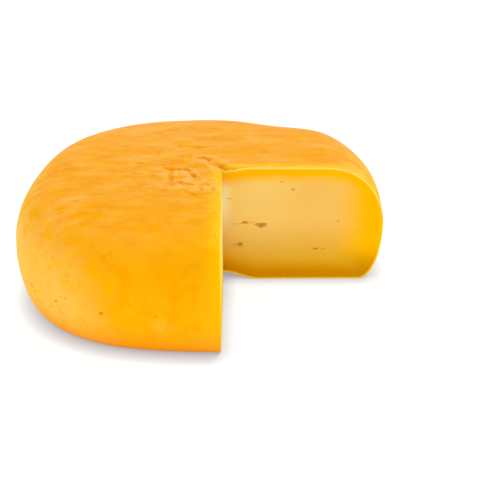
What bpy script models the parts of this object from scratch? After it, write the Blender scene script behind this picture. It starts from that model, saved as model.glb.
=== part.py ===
"""A round-cornered wheel of pressed cheese with one quarter cut out. Metres, +Z up.

The wheel stands on its flat underside with its middle over the origin. The missing quarter lies
towards +X and -Y, between a flat cut that faces +X and a flat cut that faces -Y.
"""

import math

import bmesh
import bpy
from mathutils import Matrix, Vector, noise

# The whole wheel as it was pressed
HALF_WIDTH = 0.1004
HALF_DEPTH = 0.0983
CORNER_POWER = 2.5  # 2 makes an ellipse, more makes squarer corners
PLAN_TURN = math.radians(-4.0)  # the squarish outline against the cuts
HEIGHT = 0.0673
WIDEST_HEIGHT = 0.0300  # where the wall stands out furthest
TOP_SHOULDER = 0.0345  # how far in from the wall the top starts to bend down
TOP_POWER = 2.35
FOOT_SHOULDER = 0.0125
FOOT_POWER = 2.0
CROWN = 0.0005  # the rise of the top towards its middle

# Broad swells, or dips where the height is below zero, of the top's shoulder: place, radius, height
SWELLS = (
    ((0.071, 0.055), 0.014, 0.0012),
    ((0.041, 0.071), 0.014, -0.0010),
    ((0.008, 0.077), 0.016, 0.0007),
    ((-0.055, 0.064), 0.025, -0.0006),
)

# The cuts meet on an upright line a little off the wheel's middle
CUT_CORNER = Vector((0.011, -0.0085))

# Press marks: the cloth's knot leaves a dented swirl on top and a hollow underneath
KNOT = Vector((-0.010, -0.018))
KNOT_DENT_RADIUS = 0.021
KNOT_DENT_DEPTH = 0.0012
KNOT_BUTTON_RADIUS = 0.005
KNOT_BUTTON_HEIGHT = 0.0012
HOLLOW_RADIUS = 0.022
HOLLOW_DEPTH = 0.0046

# Folds that the gathered cloth pressed into the top: route, depth and half width. Their depth
# follows half a sine wave that starts before the route and ends after it.
FOLD_LEAD = 0.12
FOLDS = (
    (((-0.024, -0.006), (-0.014, -0.0095), (-0.006, -0.012), (0.0, -0.023)), 0.0014, 0.0020),
    (((-0.040, 0.002), (-0.029, -0.002), (-0.019, -0.003), (-0.009, 0.005)), 0.0008, 0.0018),
    (((-0.004, 0.010), (0.003, 0.003), (0.009, -0.006), (0.016, -0.013)), 0.0020, 0.0030),
    (((-0.016, -0.032), (-0.009, -0.0335), (-0.002, -0.032)), 0.0010, 0.0020),
    (((0.012, 0.002), (0.022, -0.004), (0.032, -0.006)), 0.0008, 0.0022),
)

# Creases of the stretched cloth run across the top along X
CREASE_SPACING = 0.0115
CREASE_COUNT = 9
CREASE_FIRST_Y = -0.046
CREASE_WANDER = 0.004
CREASE_DEPTH = 0.0005
CREASE_HALF_WIDTH = 0.0026
CREASE_MIDDLE_X = -0.045
CREASE_HALF_LENGTH = 0.040
CREASE_SHIFT = 0.012  # how far their middles are staggered
CREASE_STAGGER = 2.4  # radians from one crease to the next

# Soft lumps over the whole skin
LUMP_SIZE = 0.040
TOP_LUMP = 0.0006
WALL_LUMP = 0.0005
LUMP_SEED = Vector((3.1, 7.7, 1.9))

# Eyes in the cuts: distance out from the cuts' shared edge, height, then width, height and depth
BACK_EYES = (
    (0.0211, 0.0335, 0.0060, 0.0020, 0.0050),
    (0.0079, 0.0224, 0.0062, 0.0016, 0.0040),
    (0.0122, 0.0353, 0.0046, 0.0012, 0.0030),
    (0.0385, 0.0550, 0.0022, 0.0016, 0.0030),
)
SIDE_EYES = (
    (0.0310, 0.0410, 0.0072, 0.0016, 0.0040),
    (0.0180, 0.0250, 0.0040, 0.0020, 0.0040),
    (0.0560, 0.0300, 0.0050, 0.0014, 0.0030),
    (0.0470, 0.0520, 0.0024, 0.0016, 0.0030),
)

# The block that is shaped into the wheel: its slices along X, Y and Z, and its finer places
SLICES = (17, 28, 8)
SHOULDER_START = 0.70  # the share of the way out where its shoulders start
FINE_TOP_MIDDLE = Vector((-0.16, 0.0))
FINE_TOP_RADIUS = 0.35
FINE_FOOT_RADIUS = 0.26

OUTLINE_STEPS = 10
MERGE_DISTANCE = 1e-6
FLAT_ANGLE = math.radians(0.3)
SHARP_ANGLE = math.radians(40)
RIND, PASTE = 0, 1  # material slots
RIND_COLOUR = (0.95, 0.42, 0.035)
RIND_ROUGHNESS = 0.5
PASTE_COLOUR = (0.96, 0.76, 0.36)
PASTE_ROUGHNESS = 0.55


def clear_scene():
    for thing in list(bpy.data.objects):
        bpy.data.objects.remove(thing, do_unlink=True)


def finish_of(name, colour, roughness):
    material = bpy.data.materials.new(name)
    material.use_nodes = True
    shader = material.node_tree.nodes["Principled BSDF"]
    shader.inputs["Base Color"].default_value = (*colour, 1.0)
    shader.inputs["Roughness"].default_value = roughness
    shader.inputs["Metallic"].default_value = 0.0
    return material


def add_object(bm, name, materials):
    mesh = bpy.data.meshes.new(name)
    bm.to_mesh(mesh)
    bm.free()
    for material in materials:
        mesh.materials.append(material)
    thing = bpy.data.objects.new(name, mesh)
    bpy.context.scene.collection.objects.link(thing)
    return thing


def outline_size(point):
    """1 on the wheel's outline, less inside it and more outside."""
    across = abs(point.x * math.cos(PLAN_TURN) + point.y * math.sin(PLAN_TURN)) / HALF_WIDTH
    along = abs(point.y * math.cos(PLAN_TURN) - point.x * math.sin(PLAN_TURN)) / HALF_DEPTH
    return (across**CORNER_POWER + along**CORNER_POWER) ** (1 / CORNER_POWER)


def wall_distance(heading):
    """How far the outline lies from the cuts' corner, by scaling a guess until it meets it."""
    length = HALF_WIDTH
    for _ in range(OUTLINE_STEPS):
        length /= outline_size(CUT_CORNER + heading * length)
    return length


def heading_of(across, back):
    """The way out from the cuts' corner, with even angles along the walls of the block."""
    share = max(abs(across), abs(back))
    if share == 0:
        return Vector((0.0, 0.0))
    eighth = math.pi / 4
    return Vector((math.tan(eighth * across / share), math.tan(eighth * back / share))).normalized()


def round_corner(out, up, power):
    """Bend the corner of a unit square into an arc and leave its two inner sides straight."""
    size = (out**power + up**power) ** (1 / power)
    if size == 0:
        return out, up
    scale = max(out, up) / size
    return out * scale, up * scale


def distance_to_route(point, route):
    """The distance to a route of straight legs, and the share of the way along it."""
    nearest = math.inf
    share = 0.0
    for leg, (start, end) in enumerate(zip(route, route[1:])):
        start = Vector(start)
        run = Vector(end) - start
        along = min(1.0, max(0.0, (point - start).dot(run) / run.length_squared))
        distance = (point - start - run * along).length
        if distance < nearest:
            nearest = distance
            share = (leg + along) / (len(route) - 1)
    return nearest, share


def bell(distance, half_width):
    return math.exp(-((distance / half_width) ** 2))


def fold_depth(plan):
    """How deep the folds round the knot lie under the top; they fade out at both ends."""
    depth = 0.0
    for route, deepest, half_width in FOLDS:
        distance, share = distance_to_route(plan, route)
        fade = math.sin(math.pi * (FOLD_LEAD + (1 - 2 * FOLD_LEAD) * share))
        depth += deepest * bell(distance, half_width) * fade
    return depth


def crease_depth(plan):
    """The cloth's creases, each a shallow groove that wanders a little and fades at its ends."""
    depth = 0.0
    for row in range(CREASE_COUNT):
        wander = noise.noise(Vector((plan.x / LUMP_SIZE, row, 0.0)))
        middle = CREASE_FIRST_Y + CREASE_SPACING * row + CREASE_WANDER * wander
        shift = CREASE_SHIFT * math.sin(CREASE_STAGGER * row)
        length_fade = bell(plan.x - CREASE_MIDDLE_X - shift, CREASE_HALF_LENGTH)
        depth += CREASE_DEPTH * bell(plan.y - middle, CREASE_HALF_WIDTH) * length_fade
    return depth


def top_relief(plan):
    """Height of the press marks at a place on top, above the smooth crown."""
    from_knot = (plan - KNOT).length
    dent = KNOT_DENT_DEPTH * bell(from_knot, KNOT_DENT_RADIUS)
    button = KNOT_BUTTON_HEIGHT * bell(from_knot, KNOT_BUTTON_RADIUS)
    lump = TOP_LUMP * noise.noise(plan.to_3d() / LUMP_SIZE + LUMP_SEED)
    return button + lump - dent - fold_depth(plan) - crease_depth(plan)


def swell_height(plan):
    return sum(rise * bell((plan - Vector(place)).length, radius) for place, radius, rise in SWELLS)


def hollow_height(plan):
    """The underside's hollow round the cuts' corner; beyond its radius the foot is flat."""
    reach = min(1.0, (plan - CUT_CORNER).length / HOLLOW_RADIUS)
    return HOLLOW_DEPTH * (1 - reach**2) ** 3


def wheel_point(block):
    """Carry a point of the block to the wheel. The cuts' corner and its two faces stay flat."""
    share = max(abs(block.x), abs(block.y))
    heading = heading_of(block.x, block.y)
    lump = noise.noise(Vector((*heading, block.z)) + LUMP_SEED)
    wall = wall_distance(heading) + WALL_LUMP * lump * share
    upper = block.z > 0
    shoulder = TOP_SHOULDER if upper else FOOT_SHOULDER
    power = TOP_POWER if upper else FOOT_POWER
    past_start = max(0.0, (share - SHOULDER_START) / (1 - SHOULDER_START))
    out, up = round_corner(past_start, abs(block.z), power)
    level_share = min(1.0, share / SHOULDER_START)
    plan = CUT_CORNER + heading * ((wall - shoulder) * level_share + shoulder * out)
    if upper:
        rise = up * (HEIGHT - WIDEST_HEIGHT)
        skin = 1 - min(1.0, outline_size(plan)) ** 2
        marks = (CROWN + top_relief(plan)) * skin * block.z**2
        marks += swell_height(plan) * block.z**2
        return Vector((*plan, WIDEST_HEIGHT + rise + marks))
    return Vector((*plan, WIDEST_HEIGHT * (1 - up) + hollow_height(plan) * block.z**2))


def make_block():
    """Three quarters of a square block, two units wide and high, middle at the inner corner."""
    bm = bmesh.new()
    for left, front in ((-1, -1), (-1, 0), (0, 0)):
        quarter = ((left, front), (left, front + 1), (left + 1, front + 1), (left + 1, front))
        bm.faces.new([bm.verts.new((x, y, -1)) for x, y in quarter])
    bmesh.ops.remove_doubles(bm, verts=bm.verts, dist=MERGE_DISTANCE)
    raised = bmesh.ops.extrude_face_region(bm, geom=bm.faces[:])["geom"]
    upper = [part for part in raised if isinstance(part, bmesh.types.BMVert)]
    bmesh.ops.translate(bm, verts=upper, vec=(0, 0, 2))
    bmesh.ops.recalc_face_normals(bm, faces=bm.faces)
    return bm


def slice_block(bm):
    for axis, cuts in enumerate(SLICES):
        along = [e for e in bm.edges if abs((e.verts[0].co - e.verts[1].co)[axis]) > MERGE_DISTANCE]
        bmesh.ops.subdivide_edges(bm, edges=along, cuts=cuts, use_grid_fill=True)


def refine(bm, level, middle, radius):
    """Halve the cells of the top or the underside round a place of the block."""
    near = set()
    for face in bm.faces:
        centre = face.calc_center_median()
        if abs(centre.z - level) < MERGE_DISTANCE and (centre.xy - middle).length < radius:
            near.update(face.edges)
    bmesh.ops.subdivide_edges(bm, edges=list(near), cuts=1, use_grid_fill=True)


def mark_cuts(bm):
    """Give the two cut faces of the block the paste's material."""
    for face in bm.faces:
        centre = face.calc_center_median()
        side_cut = abs(centre.x) < MERGE_DISTANCE and abs(face.normal.x) > abs(face.normal.z)
        back_cut = abs(centre.y) < MERGE_DISTANCE and abs(face.normal.y) > abs(face.normal.z)
        face.material_index = PASTE if side_cut or back_cut else RIND


def merge_flats(bm):
    """Turn the flat cells of the cuts and the underside into single faces."""
    level = -math.cos(FLAT_ANGLE)
    flat = [f for f in bm.faces if f.material_index == PASTE or f.normal.z < level]
    edges = {edge for face in flat for edge in face.edges}
    verts = {vert for face in flat for vert in face.verts}
    bmesh.ops.dissolve_limit(
        bm, angle_limit=FLAT_ANGLE, verts=list(verts), edges=list(edges), delimit={"MATERIAL"}
    )


def eye_cutter(skin):
    """Every eye is a flattened ball sunk half way into its cut."""
    bm = bmesh.new()
    for eyes, outward in ((BACK_EYES, Vector((1, 0, 0))), (SIDE_EYES, Vector((0, -1, 0)))):
        for out, height, width, tall, deep in eyes:
            place = Vector((*CUT_CORNER, height)) + outward * out
            radii = (width / 2, deep) if outward.x else (deep, width / 2)
            matrix = Matrix.Translation(place) @ Matrix.Diagonal((*radii, tall / 2, 1))
            bmesh.ops.create_icosphere(bm, subdivisions=1, radius=1, matrix=matrix)
    cutter = add_object(bm, "eye_cutter", [skin])
    cutter.hide_render = True
    cutter.display_type = "WIRE"
    return cutter


def make_wheel(rind, paste):
    bm = make_block()
    slice_block(bm)
    refine(bm, 1, FINE_TOP_MIDDLE, FINE_TOP_RADIUS)
    refine(bm, -1, Vector((0.0, 0.0)), FINE_FOOT_RADIUS)
    mark_cuts(bm)
    for vert in bm.verts:
        vert.co = wheel_point(vert.co)
    bm.normal_update()
    merge_flats(bm)
    wheel = add_object(bm, "cheese_wheel", [rind, paste])
    wheel.data.shade_smooth()
    wheel.data.set_sharp_from_angle(angle=SHARP_ANGLE)
    return wheel


def build():
    clear_scene()
    rind = finish_of("rind", RIND_COLOUR, RIND_ROUGHNESS)
    paste = finish_of("paste", PASTE_COLOUR, PASTE_ROUGHNESS)
    wheel = make_wheel(rind, paste)
    cut = wheel.modifiers.new("eyes", "BOOLEAN")
    cut.operation = "DIFFERENCE"
    cut.solver = "EXACT"
    cut.object = eye_cutter(paste)


build()
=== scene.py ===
"""A cut wheel of pressed cheese: its oiled orange rind, its pale paste and a plain studio."""

import math
import random

import bmesh
import bpy
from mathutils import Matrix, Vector, kdtree, noise


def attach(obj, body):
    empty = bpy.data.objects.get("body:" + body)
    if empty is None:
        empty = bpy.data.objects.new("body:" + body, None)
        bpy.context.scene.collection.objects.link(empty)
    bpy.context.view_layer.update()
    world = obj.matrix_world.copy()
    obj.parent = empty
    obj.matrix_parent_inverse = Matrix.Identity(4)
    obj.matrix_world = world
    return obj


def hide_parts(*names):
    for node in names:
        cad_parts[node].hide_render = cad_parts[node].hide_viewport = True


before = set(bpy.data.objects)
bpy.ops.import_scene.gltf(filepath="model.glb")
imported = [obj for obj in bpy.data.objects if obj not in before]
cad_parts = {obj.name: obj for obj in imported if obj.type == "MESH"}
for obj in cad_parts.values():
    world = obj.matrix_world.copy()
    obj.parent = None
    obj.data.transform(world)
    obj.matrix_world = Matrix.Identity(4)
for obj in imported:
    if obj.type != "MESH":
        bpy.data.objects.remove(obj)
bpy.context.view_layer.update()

MM = 0.001

# ---------------------------------------------------------------- the wheel's form, in metres
HALF_WIDTH = 100.4 * MM
HALF_DEPTH = 98.3 * MM
CORNER_POWER = 2.5  # 2 makes an ellipse, more makes squarer corners
PLAN_TURN = math.radians(-4.0)
HEIGHT = 67.3 * MM
WIDEST_HEIGHT = 30 * MM
TOP_SHOULDER = 34.5 * MM
TOP_POWER = 2.35
FOOT_SHOULDER = 12.5 * MM
FOOT_POWER = 2.0
CROWN = 0.5 * MM
# Broad swells, or dips where the height is below zero, of the top's shoulder, in millimetres:
# place, radius, height
SWELLS = (
    ((71, 55), 14, 1.2),
    ((41, 71), 14, -1.0),
    ((8, 77), 16, 0.7),
    ((-55, 64), 25, -0.6),
)
CUT_CORNER = Vector((11 * MM, -8.5 * MM))

KNOT = Vector((-10 * MM, -18 * MM))
KNOT_DENT_RADIUS = 21 * MM
KNOT_DENT_DEPTH = 1.2 * MM
HOLLOW_RADIUS = 22 * MM
HOLLOW_DEPTH = 4.6 * MM

# Folds that the gathered cloth pressed into the top, in millimetres: route, depth, half width
FOLD_LEAD = 0.12
FOLD_RIM = 0.35  # height of the swelling along both sides of a fold, as a share of its depth
FOLDS = (
    (((-20, -8), (-14, -9.9), (-10, -9.1), (-6.3, -12.9), (-3.3, -18.8), (0, -24)), 1.4, 1.3),
    (((-15, -32.5), (-11.3, -27.7), (-8.1, -30.6), (-3.5, -31)), 1.2, 1.1),
    (((-3, 6.8), (4.2, 5.4)), 1.7, 1.3),
    (((3, 4.4), (7.4, -1.6), (11, -6), (15.5, -8.8), (20, -10), (25, -12)), 1.6, 2.4),
    (((-15.5, -10), (-16.3, -17), (-15.8, -25), (-13.5, -31)), 0.8, 1.1),
    (((-25, -4.2), (-20.3, -3.4), (-15.5, 1.2)), 1.0, 1.1),
    (((-38, 0.6), (-26, -1.6)), 0.6, 1.1),
    (((-29, -19.5), (-22.5, -18.6)), 0.7, 1.3),
    (((-26, -39), (-15, -40.8)), 0.6, 0.9),
    (((-39, -41.8), (-23, -42.2)), 0.6, 0.8),
    (((-15.5, 9.2), (-6, 9.8)), 0.6, 1.2),
    (((-16, 26.4), (-6.5, 24.2)), 0.5, 1.3),
    (((-6, 24.4), (4.5, 24.4)), 1.0, 1.6),
    (((2, 19.2), (8.5, 21.2)), 0.6, 0.9),
    (((2.2, 12.8), (8.7, 12.8)), 0.6, 1.0),
    (((10, -3.6), (15, 0), (20, 0.2)), 0.8, 1.3),
    (((-9, -40), (1, -51)), 0.6, 1.3),
    (((-5.3, -31.4), (0.7, -37.7), (5.5, -47)), 0.7, 1.1),
    (((1.4, -29.3), (5.8, -36.3), (9, -44.5)), 0.7, 1.0),
    (((-49, 26.2), (-38, 26.2)), 0.6, 1.5),
)
FOLD_WANDER = 0.9 * MM
FOLD_WANDER_SIZE = 5 * MM
noise.seed_set(1)  # fixes how the folds wander
FOLD_BREAK = 1.1
FOLD_BREAK_SIZE = 4 * MM
# Lumps that stood between the folds, in millimetres: place, half size along X and Y, height
LUMPS = (
    ((-8.8, -15.1), (2.7, 3.2), 1.1),
    ((-7.3, -23.9), (2.6, 2.8), 0.9),
    ((-10.7, -35.2), (2.2, 2.8), 0.9),
    ((-2.2, -35.2), (2.6, 2.8), 0.8),
    ((-19.3, -18.0), (2.4, 2.6), 0.7),
    ((-32.0, 8.8), (8.0, 1.9), 0.9),
    ((-38.2, -2.9), (2.8, 2.8), 0.5),
    ((-1.0, 0.1), (2.4, 2.2), 0.6),
    ((-23.6, -9.8), (3.5, 1.6), 0.5),
    ((6.3, -35.2), (2.2, 3.0), 0.6),
    ((1.6, -25.4), (1.8, 2.2), 0.6),
    ((17.8, -11.4), (2.8, 2.2), 0.7),
    ((-17.5, -36.5), (2.8, 2.0), 0.5),
    ((3.4, -39.5), (1.7, 4.5), 0.6),
    ((-4.2, -41), (2.6, 2.2), 0.5),
    ((8.6, -38), (1.4, 4.5), 0.5),
)
GATHER_RADIUS = 35 * MM
PUCKER_LENGTH = 6.5 * MM
PUCKER_WIDTH = 6 * MM
PUCKER_DEPTH = 0.4 * MM
PUCKER_ROUGHNESS = 0.7
PUCKER_OCTAVES = 3

CREASE_SPACING = 11.5 * MM
CREASE_COUNT = 9
CREASE_FIRST_Y = -46 * MM
CREASE_WANDER = 4 * MM
CREASE_DEPTH = 0.5 * MM
CREASE_STRENGTH = 0.5  # share of the depth that a crease keeps where nothing breaks it up
CREASE_HALF_WIDTH = 1.9 * MM
CREASE_MIDDLE_X = -55 * MM
CREASE_HALF_LENGTH = 42 * MM
CREASE_SHIFT = 12 * MM
CREASE_STAGGER = 2.4
CREASE_RUN = 15 * MM
CREASE_BREAK = 1.1

LUMP_SIZE = 40 * MM
TOP_LUMP = 0.6 * MM
WALL_LUMP = 0.5 * MM
LUMP_SEED = Vector((3.1, 7.7, 1.9))

# Finer skin: short creases along X on top and small dimples in the wall
FINE_CREASE_LENGTH = 22 * MM
FINE_CREASE_WIDTH = 8 * MM
FINE_CREASE_DEPTH = 0.22 * MM
DIMPLE_SIZE = 9 * MM
DIMPLE_DEPTH = 0.14 * MM
# Small pits in the wall, in millimetres: place and radius. Each goes to the nearest point of it.
PITS = (
    (-86.5, -63.5, 25.4, 1.2),
    (-84.8, -66, 22.4, 1.1),
    (-72, -79.3, 23.4, 0.9),
    (-66, -84, 27.4, 0.6),
    (-47, -93, 23.9, 1.1),
    (-20, -98, 25.5, 0.5),
)
STRAY_PITS = 12  # spread round the right side and the back
STRAY_PIT_TURN = math.radians(165)
STRAY_PIT_LEVELS = (-0.7, 0.8)  # lowest and highest, from -1 at the foot to 1 at the top
STRAY_PIT_RADII = (0.5, 1.1)
STRAY_PIT_SEED = 5
PIT_DEPTH = 0.7  # as a share of the radius
PIT_MARGIN = 1.0 * MM

# ---------------------------------------------------------------- eyes and slits in the cuts
# Millimetres: out from the cuts' shared edge, height, then width, height and depth, and last how
# pointed it is: above 0 it narrows downwards, below 0 upwards
BACK_EYES = (
    (21.2, 33.3, 5.6, 2.8, 2.4, 0.8),
    (12.2, 35.2, 3.8, 1.5, 1.6, -0.7),
    (16.1, 35.4, 5.4, 0.5, 0.5, 0.0),
    (7.6, 34.3, 4.4, 0.5, 0.4, 0.0),
    (9.5, 21.9, 2.5, 2.4, 1.9, -0.4),
    (6.4, 21.9, 4.2, 0.5, 0.5, 0.0),
    (38.5, 54.8, 2.0, 1.2, 0.9, 0.3),
    (32.2, 59.1, 1.1, 1.0, 0.5, 0.0),
    (3.6, 49.5, 3.6, 0.7, 0.4, 0.0),
    (64.0, 36.0, 1.6, 1.0, 0.6, 0.0),
    (52.0, 19.0, 3.4, 1.0, 0.9, 0.4),
    (55.8, 19.3, 4.2, 0.5, 0.4, 0.0),
)
SIDE_EYES = (
    (31.0, 41.0, 5.4, 1.6, 1.8, 0.6),
    (35.8, 41.4, 5.6, 0.5, 0.5, 0.0),
    (18.0, 25.0, 3.4, 1.6, 1.5, -0.6),
    (14.4, 24.6, 4.6, 0.5, 0.4, 0.0),
    (56.0, 30.0, 4.2, 1.1, 1.1, 0.3),
    (47.0, 52.0, 2.2, 1.3, 0.9, 0.0),
    (66.0, 45.0, 1.6, 0.9, 0.6, 0.0),
    (10.0, 44.0, 1.4, 1.0, 0.6, 0.0),
)
CUTS = (
    (BACK_EYES, Vector((1, 0, 0)), Vector((0, 1, 0))),
    (SIDE_EYES, Vector((0, -1, 0)), Vector((-1, 0, 0))),
)
EYE_MARGIN = 1.4 * MM
EYE_RAGGED = 0.5
EYE_RAGGED_SIZE = 0.9 * MM

# How far the rind's amber reaches into the paste, and the heights where that changes
TOP_BAND = (3.2 * MM, 11 * MM)  # solid to the first distance, gone at the second
WALL_BAND = (6 * MM, 32 * MM)
FOOT_BAND = (3 * MM, 16 * MM)
TOP_BAND_ENDS = (3 * MM, 26 * MM)
FOOT_BAND_ENDS = (2 * MM, 20 * MM)
# A fold of rind that was closed into the paste under the knot: out and height in millimetres
INNER_FOLD = ((5, 63.2), (12, 62), (19, 59.3))
INNER_FOLD_HALF_WIDTH = 0.9 * MM

# ---------------------------------------------------------------- how finely the block is sliced
SLICES = (62, 78, 42)
SHOULDER_START = 0.70
FINE_TOP_MIDDLE = Vector((-0.18, -0.05))
FINE_TOP_RADII = (0.42, 0.27)
OUTLINE_STEPS = 8
EYE_SLICES = 3
PIT_SLICES = 3
MERGE_DISTANCE = 1e-6
EDGE_ROUNDING = 0.45 * MM
EDGE_SEGMENTS = 2
SHARP_ANGLE = math.radians(55)
UPWARD_SLOPES = (0.3, 0.95)  # the skin counts as top where its normal's Z passes these
RIND, PASTE = 0, 1  # places of the two finishes on the mesh


def outline_size(point):
    """1 on the wheel's outline, less inside it and more outside."""
    across = abs(point.x * math.cos(PLAN_TURN) + point.y * math.sin(PLAN_TURN)) / HALF_WIDTH
    along = abs(point.y * math.cos(PLAN_TURN) - point.x * math.sin(PLAN_TURN)) / HALF_DEPTH
    return (across**CORNER_POWER + along**CORNER_POWER) ** (1 / CORNER_POWER)


def wall_distance(heading):
    """How far the outline lies from the cuts' corner, by scaling a guess until it meets it."""
    length = HALF_WIDTH
    for _ in range(OUTLINE_STEPS):
        length /= outline_size(CUT_CORNER + heading * length)
    return length


def heading_of(across, back):
    """The way out from the cuts' corner, with even angles along the walls of the block."""
    share = max(abs(across), abs(back))
    if share == 0:
        return Vector((0.0, 0.0))
    eighth = math.pi / 4
    heading = Vector((math.tan(eighth * across / share), math.tan(eighth * back / share)))
    return heading.normalized()


def round_corner(out, up, power):
    """Bend the corner of a unit square into an arc and leave its two inner sides straight."""
    size = (out**power + up**power) ** (1 / power)
    if size == 0:
        return out, up
    scale = max(out, up) / size
    return out * scale, up * scale


def distance_to_route(point, route):
    """The distance to a route of straight legs, and the share of the way along it."""
    nearest = math.inf
    share = 0.0
    for leg, (start, end) in enumerate(zip(route, route[1:])):
        run = end - start
        along = min(1.0, max(0.0, (point - start).dot(run) / run.length_squared))
        distance = (point - start - run * along).length
        if distance < nearest:
            nearest = distance
            share = (leg + along) / (len(route) - 1)
    return nearest, share


def bell(distance, half_width):
    """1 in the middle, a third at half_width and nothing far out."""
    return math.exp(-((distance / half_width) ** 2))


def smooth_step(value, low, high):
    """0 below low, 1 above high, and a smooth rise between them."""
    share = min(1.0, max(0.0, (value - low) / (high - low)))
    return share * share * (3 - 2 * share)


FOLD_ROUTES = [
    ([Vector(point) * MM for point in route], deepest * MM, half_width * MM)
    for route, deepest, half_width in FOLDS
]


def fold_depth(plan):
    """How deep the folds round the knot lie under the top; they fade out at both ends."""
    depth = 0.0
    wander = noise.noise_vector(plan.to_3d() / FOLD_WANDER_SIZE) * FOLD_WANDER
    broken = 1 + FOLD_BREAK * noise.noise(plan.to_3d() / FOLD_BREAK_SIZE)
    for route, deepest, half_width in FOLD_ROUTES:
        distance, share = distance_to_route(plan + wander.xy, route)
        fade = math.sin(math.pi * (FOLD_LEAD + (1 - 2 * FOLD_LEAD) * share))
        rim = FOLD_RIM * bell(distance - 2 * half_width, half_width)
        depth += deepest * (bell(distance, half_width) - rim) * fade * broken
    return depth


def lump_height(plan):
    """How high the lumps between the folds stand."""
    height = 0.0
    for place, size, rise in LUMPS:
        across, along = ((plan[axis] / MM - place[axis]) / size[axis] for axis in (0, 1))
        height += rise * MM * bell(math.hypot(across, along), 1.0)
    return height


def puckers(plan):
    """Small gathers of the cloth round the knot."""
    place = Vector((plan.x / PUCKER_LENGTH, plan.y / PUCKER_WIDTH, 0.0))
    reach = bell((plan - KNOT).length, GATHER_RADIUS)
    return PUCKER_DEPTH * reach * noise.fractal(place, PUCKER_ROUGHNESS, 2.0, PUCKER_OCTAVES)


def crease_depth(plan):
    """The cloth's creases, each a shallow groove that wanders a little and fades at its ends."""
    depth = 0.0
    for row in range(CREASE_COUNT):
        wander = noise.noise(Vector((plan.x / LUMP_SIZE, row, 0.0)))
        middle = CREASE_FIRST_Y + CREASE_SPACING * row + CREASE_WANDER * wander
        shift = CREASE_SHIFT * math.sin(CREASE_STAGGER * row)
        length_fade = bell(plan.x - CREASE_MIDDLE_X - shift, CREASE_HALF_LENGTH)
        along = noise.noise(Vector((plan.x / CREASE_RUN, 0.0, row)))
        broken = CREASE_STRENGTH + CREASE_BREAK * along
        depth += CREASE_DEPTH * bell(plan.y - middle, CREASE_HALF_WIDTH) * length_fade * broken
    return depth


def fine_creases(plan):
    """Short creases between the large ones."""
    place = Vector((plan.x / FINE_CREASE_LENGTH, plan.y / FINE_CREASE_WIDTH, 0.0))
    return FINE_CREASE_DEPTH * noise.noise(place)


def cloth_marks(plan):
    """Height of the marks that the cloth left at a place on top."""
    raised = lump_height(plan) + puckers(plan) + fine_creases(plan)
    return raised - fold_depth(plan) - crease_depth(plan)


def knot_dent(plan):
    """How deep the broad dent under the knot is."""
    return KNOT_DENT_DEPTH * bell((plan - KNOT).length, KNOT_DENT_RADIUS)


def swell_height(plan):
    """How far the shoulder swells out, or dips."""
    height = 0.0
    for place, radius, rise in SWELLS:
        height += rise * MM * bell((plan - Vector(place) * MM).length, radius * MM)
    return height


def hollow_height(plan):
    """The underside's hollow round the cuts' corner; beyond its radius the foot is flat."""
    reach = min(1.0, (plan - CUT_CORNER).length / HOLLOW_RADIUS)
    return HOLLOW_DEPTH * (1 - reach**2) ** 3


def wheel_point(block):
    """Carry a point of the block to the wheel. The cuts' corner and its two faces stay flat."""
    share = max(abs(block.x), abs(block.y))
    heading = heading_of(block.x, block.y)
    lump = noise.noise(Vector((*heading, block.z)) + LUMP_SEED)
    smooth_wall = wall_distance(heading)
    dimple_place = Vector((*(heading * smooth_wall), block.z * HEIGHT / 2)) / DIMPLE_SIZE
    dimple = DIMPLE_DEPTH * noise.noise(dimple_place)
    wall = smooth_wall + (WALL_LUMP * lump + dimple) * share
    upper = block.z > 0
    shoulder = TOP_SHOULDER if upper else FOOT_SHOULDER
    power = TOP_POWER if upper else FOOT_POWER
    past_start = max(0.0, (share - SHOULDER_START) / (1 - SHOULDER_START))
    out, up = round_corner(past_start, abs(block.z), power)
    level_share = min(1.0, share / SHOULDER_START)
    plan = CUT_CORNER + heading * ((wall - shoulder) * level_share + shoulder * out)
    if upper:
        rise = up * (HEIGHT - WIDEST_HEIGHT)
        skin = 1 - min(1.0, outline_size(plan)) ** 2
        lump = TOP_LUMP * noise.noise(plan.to_3d() / LUMP_SIZE + LUMP_SEED)
        marks = (CROWN + lump - knot_dent(plan) + cloth_marks(plan)) * skin * block.z**2
        marks += swell_height(plan) * block.z**2
        return Vector((*plan, WIDEST_HEIGHT + rise + marks))
    return Vector((*plan, WIDEST_HEIGHT * (1 - up) + hollow_height(plan) * block.z**2))


def make_block():
    """Three quarters of a square block, two units wide and high, middle at the inner corner."""
    bm = bmesh.new()
    for left, front in ((-1, -1), (-1, 0), (0, 0)):
        quarter = ((left, front), (left, front + 1), (left + 1, front + 1), (left + 1, front))
        bm.faces.new([bm.verts.new((x, y, -1)) for x, y in quarter])
    bmesh.ops.remove_doubles(bm, verts=bm.verts, dist=MERGE_DISTANCE)
    raised = bmesh.ops.extrude_face_region(bm, geom=bm.faces[:])["geom"]
    upper = [part for part in raised if isinstance(part, bmesh.types.BMVert)]
    bmesh.ops.translate(bm, verts=upper, vec=(0, 0, 2))
    bmesh.ops.recalc_face_normals(bm, faces=bm.faces)
    return bm


def slice_block(bm):
    """Cut the block into even slices along X, Y and Z."""
    for axis, cuts in enumerate(SLICES):
        along = []
        for edge in bm.edges:
            if abs((edge.verts[0].co - edge.verts[1].co)[axis]) > MERGE_DISTANCE:
                along.append(edge)
        bmesh.ops.subdivide_edges(bm, edges=along, cuts=cuts, use_grid_fill=True)


def refine(bm, wanted, cuts):
    """Cut the cells whose centre passes a test into smaller ones."""
    near = dict.fromkeys(edge for face in bm.faces if wanted(face) for edge in face.edges)
    bmesh.ops.subdivide_edges(bm, edges=list(near), cuts=cuts, use_grid_fill=True)


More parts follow.
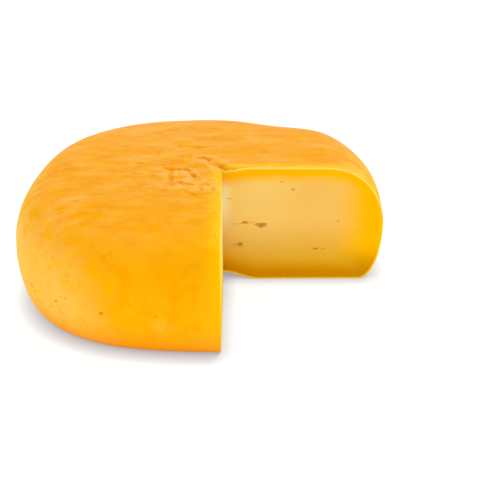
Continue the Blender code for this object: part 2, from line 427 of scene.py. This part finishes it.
def refine_knot(bm):
    """Finer cells on top round the knot, and finer again close to it."""
    for radius in FINE_TOP_RADII:

        def near_knot(face):
            centre = face.calc_center_median()
            return centre.z > 1 - MERGE_DISTANCE and (centre.xy - FINE_TOP_MIDDLE).length < radius

        refine(bm, near_knot, 1)


def mark_cuts(bm):
    """Give the two cut faces of the block the paste's material."""
    for face in bm.faces:
        centre = face.calc_center_median()
        side_cut = abs(centre.x) < MERGE_DISTANCE and abs(face.normal.x) > abs(face.normal.z)
        back_cut = abs(centre.y) < MERGE_DISTANCE and abs(face.normal.y) > abs(face.normal.z)
        face.material_index = PASTE if side_cut or back_cut else RIND


def on_cut(place, outward, inward):
    """Distance out from the cuts' shared edge, and distance into the cheese behind the cut."""
    offset = place - CUT_CORNER.to_3d()
    return offset.dot(outward), offset.dot(inward)


def by_an_eye(face):
    """Whether a face of a cut lies over or next to an eye."""
    if face.material_index != PASTE:
        return False
    centre = face.calc_center_median()
    for eyes, outward, inward in CUTS:
        out, depth = on_cut(centre, outward, inward)
        if abs(depth) > EDGE_ROUNDING:
            continue
        for eye_out, eye_up, width, tall, _, _ in eyes:
            wide = abs(out - eye_out * MM) < width * MM / 2 + EYE_MARGIN
            high = abs(centre.z - eye_up * MM) < tall * MM / 2 + EYE_MARGIN
            if wide and high:
                return True
    return False


def point_tree(points):
    """A search tree for the point that lies nearest."""
    tree = kdtree.KDTree(len(points))
    for index, point in enumerate(points):
        tree.insert(point, index)
    tree.balance()
    return tree


def sink_eyes(bm, sunk):
    """Push the paste in at every eye, with a ragged outline, and note how deep it went."""
    for vert in bm.verts:
        if any(face.material_index != PASTE for face in vert.link_faces):
            continue
        for eyes, outward, inward in CUTS:
            out, depth = on_cut(vert.co, outward, inward)
            if abs(depth) > MERGE_DISTANCE:
                continue
            ragged = EYE_RAGGED * noise.noise(vert.co / EYE_RAGGED_SIZE)
            for eye_out, eye_up, width, tall, deep, point in eyes:
                up = (vert.co.z - eye_up * MM) / (tall * MM / 2)
                half_width = width * MM / 2 * (1 + point * max(-1.0, min(1.0, up)))
                across = (out - eye_out * MM) / half_width
                inside = 1 - (across**2 + up**2) * (1 + ragged)
                if inside > 0:
                    vert[sunk] = math.sqrt(inside)
                    vert.co += inward * deep * MM * vert[sunk]
                    break


def place_pits():
    """The pits that were noted in the wall, and strays round the rest of it: place and radius."""
    pits = [(Vector(place) * MM, radius * MM) for *place, radius in PITS]
    draw = random.Random(STRAY_PIT_SEED)
    for _ in range(STRAY_PITS):
        turn = draw.uniform(0, STRAY_PIT_TURN)
        heading = Vector((math.cos(turn), math.sin(turn)))
        across, back = heading / max(abs(heading.x), abs(heading.y))
        place = wheel_point(Vector((across, back, draw.uniform(*STRAY_PIT_LEVELS))))
        pits.append((place, draw.uniform(*STRAY_PIT_RADII) * MM))
    return pits


def sink_pits(bm, sunk):
    """Press small round pits into the wall."""
    smooth = point_tree([vert.co for vert in bm.verts])
    for place, radius in place_pits():
        middle = smooth.find(place)[0].copy()
        reach = radius + PIT_MARGIN
        refine(
            bm, lambda face: (face.calc_center_median() - middle).length < reach, PIT_SLICES
        )
        bm.normal_update()
        for vert in bm.verts:
            inside = 1 - ((vert.co - middle).length / radius) ** 2
            if inside > 0:
                vert[sunk] = math.sqrt(inside)
                vert.co -= vert.normal * PIT_DEPTH * radius * vert[sunk]


def round_cut_edges(bm):
    """Take the knife-sharp edge off where the rind meets the cuts."""
    edges = []
    for edge in bm.edges:
        if len({face.material_index for face in edge.link_faces}) == 2:
            edges.append(edge)
    bmesh.ops.bevel(
        bm,
        geom=edges,
        offset=EDGE_ROUNDING,
        segments=EDGE_SEGMENTS,
        profile=0.5,
        affect="EDGES",
        material=-1,
    )


def band_limits(rim_height):
    """How far the rind's amber is solid in the paste, and where it ends, by a rim's height."""
    below_top = smooth_step(HEIGHT - rim_height, *TOP_BAND_ENDS)
    above_foot = smooth_step(rim_height, *FOOT_BAND_ENDS)
    solid, gone = (
        foot + (top + (wall - top) * below_top - foot) * above_foot
        for top, wall, foot in zip(TOP_BAND, WALL_BAND, FOOT_BAND)
    )
    return solid, gone


def band_share(tree, limits, place):
    """0 where the rind's amber is solid in the paste and 1 where it has ended."""
    share = 1.0
    for _, index, distance in tree.find_range(place, WALL_BAND[1]):
        solid, gone = limits[index]
        share = min(share, (distance - solid) / (gone - solid))
    return share


def note_skin(bm):
    """Store what the finishes need to know of each point of the skin."""
    from_edge = bm.verts.layers.float.new("from_edge")
    from_rind = bm.verts.layers.float.new("from_rind")
    stain = bm.verts.layers.float.new("stain")
    pressed = bm.verts.layers.float.new("pressed")
    upward = bm.verts.layers.float.new("upward")
    gathered = bm.verts.layers.float.new("gathered")
    rim = []
    for vert in bm.verts:
        if len({face.material_index for face in vert.link_faces}) == 2:
            rim.append(vert.co.copy())
    tree = point_tree(rim)
    limits = [band_limits(place.z) for place in rim]
    streak = [Vector(point) * MM for point in INNER_FOLD]
    for vert in bm.verts:
        vert[from_edge] = tree.find(vert.co)[2]
        vert[upward] = smooth_step(vert.normal.z, *UPWARD_SLOPES)
        vert[gathered] = bell((vert.co.xy - KNOT).length, GATHER_RADIUS) * vert[upward]
        vert[pressed] = cloth_marks(vert.co.xy) / MM * vert[upward]
        if all(face.material_index == RIND for face in vert.link_faces):
            continue
        vert[from_rind] = band_share(tree, limits, vert.co)
        out, depth = on_cut(vert.co, *CUTS[0][1:])
        if abs(depth) < EDGE_ROUNDING:
            off_streak, along = distance_to_route(Vector((out, vert.co.z)), streak)
            vert[stain] = bell(off_streak, INNER_FOLD_HALF_WIDTH) * (1 - along)


def make_wheel():
    """The wheel's skin as one closed piece."""
    bm = make_block()
    slice_block(bm)
    refine_knot(bm)
    mark_cuts(bm)
    for vert in bm.verts:
        vert.co = wheel_point(vert.co)
    refine(bm, by_an_eye, EYE_SLICES)
    sunk = bm.verts.layers.float.new("sunk")
    sink_eyes(bm, sunk)
    sink_pits(bm, sunk)
    round_cut_edges(bm)
    bm.normal_update()
    note_skin(bm)
    mesh = bpy.data.meshes.new("wheel_skin")
    bm.to_mesh(mesh)
    bm.free()
    mesh.shade_smooth()
    mesh.set_sharp_from_angle(angle=SHARP_ANGLE)
    wheel = bpy.data.objects.new("wheel_skin", mesh)
    bpy.context.scene.collection.objects.link(wheel)
    return wheel


# ---------------------------------------------------------------- finishes
def colour(red, green, blue):
    """A colour given as it looks on a screen, from 0 to 255, in the linear values Blender uses."""
    linear = []
    for part in (red, green, blue):
        part /= 255
        linear.append(part / 12.92 if part <= 0.04045 else ((part + 0.055) / 1.055) ** 2.4)
    return (*linear, 1.0)


class Wire:
    """One socket of a node tree, with arithmetic that adds Math nodes."""

    def __init__(self, nodes, socket):
        self.nodes = nodes
        self.socket = socket

    def __add__(self, other):
        return self.nodes.math("ADD", self, other)

    __radd__ = __add__

    def __sub__(self, other):
        return self.nodes.math("SUBTRACT", self, other)

    def __rsub__(self, other):
        return self.nodes.math("SUBTRACT", other, self)

    def __mul__(self, other):
        return self.nodes.math("MULTIPLY", self, other)

    __rmul__ = __mul__

    def step(self, low, high):
        """0 below low, 1 above high, and a smooth rise between them."""
        sockets = {"Value": self, "From Min": low, "From Max": high}
        return self.nodes.add("ShaderNodeMapRange", {"interpolation_type": "SMOOTHSTEP"}, sockets)


class Nodes:
    """A node tree under construction. Every node comes from the one method add."""

    def __init__(self, tree):
        self.tree = tree

    def add(self, kind, settings=None, sockets=None, output=0):
        node = self.tree.nodes.new(kind)
        for name, value in (settings or {}).items():
            setattr(node, name, value)
        for name, value in (sockets or {}).items():
            self.feed(node.inputs[name], value)
        return Wire(self, node.outputs[output])

    def feed(self, socket, value):
        if isinstance(value, Wire):
            self.tree.links.new(value.socket, socket)
        else:
            socket.default_value = value

    def math(self, operation, first, second):
        return self.add("ShaderNodeMath", {"operation": operation}, {0: first, 1: second})

    def mix(self, share, low, high):
        return self.add("ShaderNodeMix", {"data_type": "RGBA"}, {0: share, 6: low, 7: high}, 2)

    def part(self, vector, axis):
        return self.add("ShaderNodeSeparateXYZ", sockets={0: vector}, output=axis)


class Finish(Nodes):
    """A procedural material."""

    def __init__(self, name):
        self.material = bpy.data.materials.new(name)
        self.material.use_nodes = True
        super().__init__(self.material.node_tree)
        self.shader = self.tree.nodes["Principled BSDF"]
        self.place = self.add("ShaderNodeTexCoord", output="Object")

    def set(self, **sockets):
        """Set or link the shader's own sockets, named with _ for a space."""
        for name, value in sockets.items():
            self.feed(self.shader.inputs[name.replace("_", " ")], value)

    def noted(self, name):
        """A value that the mesh holds at its points."""
        return self.add("ShaderNodeAttribute", {"attribute_name": name}, output="Fac")

    def stretched(self, scales):
        sockets = {0: self.place, 1: scales}
        return self.add("ShaderNodeVectorMath", {"operation": "MULTIPLY"}, sockets)

    def distance(self, point, place=None):
        sockets = {0: place or self.place, 1: point}
        return self.add("ShaderNodeVectorMath", {"operation": "DISTANCE"}, sockets, "Value")

    def cloud(self, size, detail=2.0, roughness=0.5, place=None):
        """Noise from 0 to 1 with blots about as large as size."""
        sockets = {"Vector": place or self.place, "Scale": 1 / size, "Detail": detail}
        return self.add("ShaderNodeTexNoise", sockets={**sockets, "Roughness": roughness})

    def bump(self, height, distance, below=None):
        sockets = {"Height": height, "Distance": distance}
        if below:
            sockets["Normal"] = below
        return self.add("ShaderNodeBump", sockets=sockets)


# Middles of the paler patches of painted sheen, low on the wall and far back on top
LOW_SHEEN_MIDDLE = (-87 * MM, -62 * MM, 12 * MM)
FAR_SHEEN_MIDDLE = (-30 * MM, 80 * MM, 60 * MM)


def rind_finish():
    """Oiled orange rind with painted sheen, rosier on top and paler at the left, and the cloth's
    marks.
    """
    rind = Finish("rind")
    amber = colour(255, 171, 0)
    light = colour(255, 184, 18)
    peach_sheen = colour(255, 175, 45)
    rosy_sheen = colour(255, 176, 74)
    pale = colour(255, 193, 88)
    ridge_highlight = colour(255, 196, 126)
    side_sheen = colour(255, 216, 102)
    low_sheen = colour(255, 202, 105)
    hazy = colour(255, 186, 56)
    deep = colour(249, 154, 0)
    fold_shade = colour(226, 132, 0)
    freckle = colour(232, 160, 8)
    pit_shade = colour(194, 136, 8)
    yellow = colour(255, 200, 0)
    straw = colour(255, 212, 28)
    orange = colour(248, 144, 24)
    from_edge = rind.noted("from_edge")
    pressed = rind.noted("pressed")
    upward = rind.noted("upward")
    gathered = rind.noted("gathered")
    sunk = rind.noted("sunk")
    height = rind.part(rind.place, "Z")
    back = rind.part(rind.place, "Y")

    broad = rind.cloud(34 * MM)
    mottle = rind.cloud(8 * MM, detail=3.0, roughness=0.55)
    grain = rind.cloud(2.6 * MM, detail=3.0, roughness=0.6)
    along_x = rind.stretched((0.7, 1.4, 1.4))
    wrinkles = rind.cloud(11 * MM, detail=3.0, roughness=0.55, place=along_x)
    patches = rind.cloud(36 * MM, detail=1.0)
    streaks = rind.cloud(9 * MM, place=rind.stretched((0.3, 1.5, 1.5)))
    freckles = rind.cloud(5 * MM, detail=1.0)
    puckers = rind.cloud(6 * MM, detail=3.0, roughness=0.6, place=rind.stretched((0.9, 1.3, 1.0)))

    # Masks: where the skin lies level, is creased, takes painted sheen or is near the cut that
    # faces +X
    level = upward.step(0.5, 1.0)
    creased = level * (0.35 + patches.step(0.38, 0.6) * 0.65)
    # Painted sheen patches: low at the left, on the left wall, high on the right, far back on top
    low_sheen_patch = (rind.distance(LOW_SHEEN_MIDDLE) + (mottle - 0.5) * 50 * MM).step(60 * MM, 32 * MM)
    right = rind.part(rind.place, "X") + (mottle - 0.5) * 24 * MM
    left_sheen = right.step(-80 * MM, -98 * MM) * (0.45 + height.step(14 * MM, 36 * MM) * 0.25)
    right_sheen = right.step(68 * MM, 92 * MM) * height.step(30 * MM, 55 * MM)
    far_sheen = rind.distance(FAR_SHEEN_MIDDLE).step(56 * MM, 20 * MM)
    bloom = rind.cloud(24 * MM).step(0.52, 0.68) * height.step(50 * MM, 20 * MM)
    by_near_cut = from_edge.step(36 * MM, 8 * MM) * back.step(-20 * MM, -55 * MM)

    # The broad colours
    base = rind.mix(broad.step(0.38, 0.66) * 0.5, amber, light)
    # Painted sheen: the top is painted peach, and rosier far back, less near the cut
    top_sheen = upward * (1 - by_near_cut * 0.9)
    base = rind.mix(top_sheen * 0.7, base, peach_sheen)
    base = rind.mix(patches.step(0.46, 0.62) * top_sheen * 0.15, base, rosy_sheen)
    base = rind.mix(back.step(-20 * MM, 70 * MM) * upward * 0.6, base, rosy_sheen)
    base = rind.mix(bloom * 0.45, base, hazy)
    # Painted sheen: paler far back on top, on the left wall, high on the right and low at the left
    base = rind.mix(far_sheen * 0.45, base, pale)
    base = rind.mix(left_sheen + right_sheen * 0.5, base, side_sheen)
    base = rind.mix(low_sheen_patch * 0.5, base, low_sheen)

    # Mottle, streaks, and wrinkles and puckers with painted highlights and painted shade
    base = rind.mix(mottle.step(0.46, 0.78) * 0.5, base, light)
    base = rind.mix(mottle.step(0.5, 0.3) * 0.35, base, deep)
    streaked = streaks.step(0.5, 0.4) * upward * (1 - back.step(0, 60 * MM) * 0.6)
    base = rind.mix(streaked, base, amber)
    # Painted highlights on the wrinkles' and puckers' rises, painted shade in their hollows
    base = rind.mix(wrinkles.step(0.5, 0.7) * creased * (0.6 - by_near_cut * 0.35), base, pale)
    base = rind.mix(wrinkles.step(0.5, 0.32) * creased * 0.7, base, deep)
    base = rind.mix(puckers.step(0.52, 0.62) * gathered * 0.65, base, pale)
    base = rind.mix(puckers.step(0.48, 0.37) * gathered * 0.65, base, deep)

    # The yellow margin along the cuts, painted shade and highlights on the folds and lumps, the
    # finest marks
    edge_width = from_edge + (mottle - 0.5) * 10 * MM
    edge_share = edge_width.step(9 * MM, 0 * MM) * (0.35 + height.step(20 * MM, 50 * MM) * 0.45)
    base = rind.mix(edge_share, base, rind.mix(level, yellow, straw))
    # Painted shade in the folds' valleys and painted highlights on the lumps, by the cloth's
    # pressed height
    base = rind.mix((0 - pressed).step(0.1, 0.7) * 0.7, base, deep)
    base = rind.mix((0 - pressed).step(0.8, 1.8) * 0.6, base, fold_shade)
    base = rind.mix(pressed.step(0.05, 0.5) * 0.7, base, pale)
    base = rind.mix(pressed.step(0.4, 1.1) * 0.7, base, ridge_highlight)
    base = rind.mix(grain.step(0.54, 0.76) * 0.45, base, light)
    base = rind.mix(grain.step(0.46, 0.24) * 0.35, base, deep)
    base = rind.mix(freckles.step(0.69, 0.78) * 0.45, base, freckle)
    base = rind.mix(height.step(21 * MM, 1 * MM) * 0.75, base, orange)
    # Painted shade inside the pits
    base = rind.mix(sunk * 0.8, base, pit_shade)

    relief = rind.bump(grain, 0.12 * MM)
    cloth = rind.bump(wrinkles * creased + puckers * gathered, 0.4 * MM, below=relief)
    rind.set(Base_Color=base, Roughness=0.4 + broad * 0.16, Normal=cloth)
    rind.set(Specular_IOR_Level=0.0, Coat_Weight=level * 0.2, Coat_Roughness=0.36)
    return rind.material


def paste_finish():
    """Pale cream paste that the rind's amber fades into, darker with painted shade in the gap."""
    paste = Finish("paste")
    cream = colour(246, 196, 98)
    shade = colour(241, 188, 84)
    corner_light = colour(255, 230, 144)
    corner_highlight = colour(255, 238, 188)
    band = colour(255, 188, 0)
    lip = colour(255, 208, 20)
    top_lip_highlight = colour(255, 230, 122)
    hollow = colour(198, 140, 26)
    low_shade = colour(222, 166, 8)
    foot = colour(206, 138, 0)
    sunny = colour(255, 232, 122)
    golden = colour(255, 219, 80)
    from_edge = paste.noted("from_edge")
    from_rind = paste.noted("from_rind")
    stain = paste.noted("stain")
    sunk = paste.noted("sunk")
    height = paste.part(paste.place, "Z")
    back = paste.part(paste.place, "Y")
    from_middle = paste.distance((*CUT_CORNER, 0.0), paste.stretched((1, 1, 0)))

    clouds = paste.cloud(30 * MM)
    grain = paste.cloud(1.6 * MM, detail=3.0)
    edge_clouds = paste.cloud(12 * MM)
    depth = from_rind + (edge_clouds - 0.5) * 0.3
    side = back.step(CUT_CORNER.y - 1 * MM, CUT_CORNER.y - 6 * MM)

    # The paste itself, with painted light along the inner corner and on the cut that faces +X
    # Painted shade: these colours are the paste as it looks in the gap's shade, darker and warmer
    base = paste.mix(clouds.step(0.35, 0.7) * 0.5, cream, shade)
    base = paste.mix(grain.step(0.6, 0.8) * 0.2, base, shade)
    # Painted light: paler towards the inner corner, palest close to it at mid height
    base = paste.mix(from_middle.step(56 * MM, 6 * MM) * 0.5, base, corner_light)
    lit = height.step(24 * MM, 48 * MM) * (1 - height.step(50 * MM, 60 * MM) * 0.5)
    base = paste.mix(from_middle.step(7 * MM, 0 * MM) * lit * 0.9, base, corner_highlight)
    # Painted light and shade: the back cut stays as in shade, the cut that faces +X is painted
    # sunlit
    shaded = 1 - side * 0.7
    # Painted shade: darker and warmer low on the back cut, less on the cut that faces +X
    base = paste.mix(height.step(42 * MM, 5 * MM) * shaded * 0.92, base, low_shade)
    sunlit = paste.mix(height.step(18 * MM, 56 * MM), golden, sunny)
    base = paste.mix(side * 0.7, base, sunlit)

    # The rind's amber in the paste, a painted highlight along the lip of the cut, and the eyes
    # Painted shade: the rind's band in the paste darkens towards the foot on the back cut
    rind_side = paste.mix(height.step(24 * MM, 4 * MM) * shaded, band, foot)
    base = paste.mix(depth.step(1.0, 0.0), base, rind_side)
    base = paste.mix(stain * 0.8, base, band)
    near_top = height.step(36 * MM, 52 * MM) * back.step(-80 * MM, -30 * MM)
    lip_highlight = paste.mix(near_top, lip, top_lip_highlight)
    # Painted highlight along the rounded lip of the cut, yellow low down and paler near the top
    base = paste.mix(from_edge.step(1.4 * MM, 0.5 * MM) * 0.85, base, lip_highlight)
    # Painted shade inside the eyes
    base = paste.mix(sunk * 0.6, base, hollow)

    relief = paste.bump(grain, 0.08 * MM)
    paste.set(Base_Color=base, Roughness=0.5, Normal=relief)
    paste.set(Specular_IOR_Level=0.0, Subsurface_Weight=0.2, Subsurface_Scale=0.005)
    return paste.material


# ---------------------------------------------------------------- studio
FLOOR_SIZE = 80.0
FLOOR_GLOW = 0.92
FLOOR_DULL = 0.16
FLOOR_WHITE = 255
FLOOR_SHADED = 149
CONTACT_SHADOW_WIDTH = 10 * MM
CONTACT_SHADOW_SAMPLES = 16
SKY_ENDS = (0.05, 0.7)  # sine of the elevation where the sky starts and ends to darken
SKY_LOW = 1.0
SKY_HIGH = 0.34
WHITE = (1.0, 1.0, 1.0, 1.0)
# Soft distant lamps, so that the floor is lit evenly all the way out: name, the way to the lamp,
# softness in degrees, strength
SUNS = (
    ("key", (0.7, 0.5, 1.3), 26, 1.6),
    ("fill", (-0.3, -1.3, 0.5), 50, 0.6),
    ("side", (-1.2, -0.2, 0.5), 50, 0.5),
)
CAMERA_PLACE = Vector((21.5, -515.1, 259.9)) * MM
CAMERA_PITCH = math.radians(25.5)
CAMERA_YAW = math.radians(0.52)
SENSOR_WIDTH = 36.0
FOCAL_PIXELS = 1000
PICTURE_PIXELS = 500


def add_floor():
    """A plain white floor with a soft contact shadow painted into its glow where the wheel stands
    on it.
    """
    bm = bmesh.new()
    bmesh.ops.create_grid(bm, x_segments=1, y_segments=1, size=FLOOR_SIZE / 2)
    mesh = bpy.data.meshes.new("floor")
    bm.to_mesh(mesh)
    bm.free()
    floor = bpy.data.objects.new("floor", mesh)
    bpy.context.scene.collection.objects.link(floor)
    surface = Finish("floor_white")
    sockets = {"Distance": CONTACT_SHADOW_WIDTH}
    settings = {"samples": CONTACT_SHADOW_SAMPLES}
    # Painted contact shadow: the floor's glow dims where the wheel stands close
    open_share = surface.add("ShaderNodeAmbientOcclusion", settings, sockets, "AO")
    glow = surface.mix(open_share, colour(*[FLOOR_SHADED] * 3), colour(*[FLOOR_WHITE] * 3))
    surface.set(Base_Color=(*[FLOOR_DULL] * 3, 1.0), Roughness=0.9, Specular_IOR_Level=0.0)
    surface.set(Emission_Color=glow, Emission_Strength=FLOOR_GLOW)
    mesh.materials.append(surface.material)


def add_sun(name, towards, softness, strength):
    lamp = bpy.data.lights.new(name, "SUN")
    lamp.angle = math.radians(softness)
    lamp.energy = strength
    sun = bpy.data.objects.new(name, lamp)
    sun.rotation_euler = (-Vector(towards)).to_track_quat("-Z", "Y").to_euler()
    bpy.context.scene.collection.objects.link(sun)


def add_light():
    """A pale sky that is brighter low down, and the lamps."""
    world = bpy.data.worlds.new("studio")
    bpy.context.scene.world = world
    world.use_nodes = True
    sky = Nodes(world.node_tree)
    heading = sky.add("ShaderNodeTexCoord", output="Generated")
    fall = sky.part(heading, "Z").step(*SKY_ENDS)
    strength = SKY_LOW + fall * (SKY_HIGH - SKY_LOW)
    background = world.node_tree.nodes["Background"]
    sky.feed(background.inputs["Strength"], strength)
    sky.feed(background.inputs["Color"], WHITE)
    for sun in SUNS:
        add_sun(*sun)


def add_camera():
    """The camera, from the picture's viewing angle."""
    lens = bpy.data.cameras.new("camera")
    lens.sensor_width = SENSOR_WIDTH
    lens.lens = SENSOR_WIDTH * FOCAL_PIXELS / PICTURE_PIXELS
    camera = bpy.data.objects.new("camera", lens)
    camera.location = CAMERA_PLACE
    camera.rotation_euler = (math.pi / 2 - CAMERA_PITCH, 0, -CAMERA_YAW)
    bpy.context.scene.collection.objects.link(camera)
    bpy.context.scene.camera = camera


wheel = make_wheel()
wheel.data.materials.append(rind_finish())
wheel.data.materials.append(paste_finish())
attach(wheel, "root")
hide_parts("cheese_wheel")

add_floor()
add_light()
add_camera()
bpy.context.scene.view_settings.view_transform = "Standard"
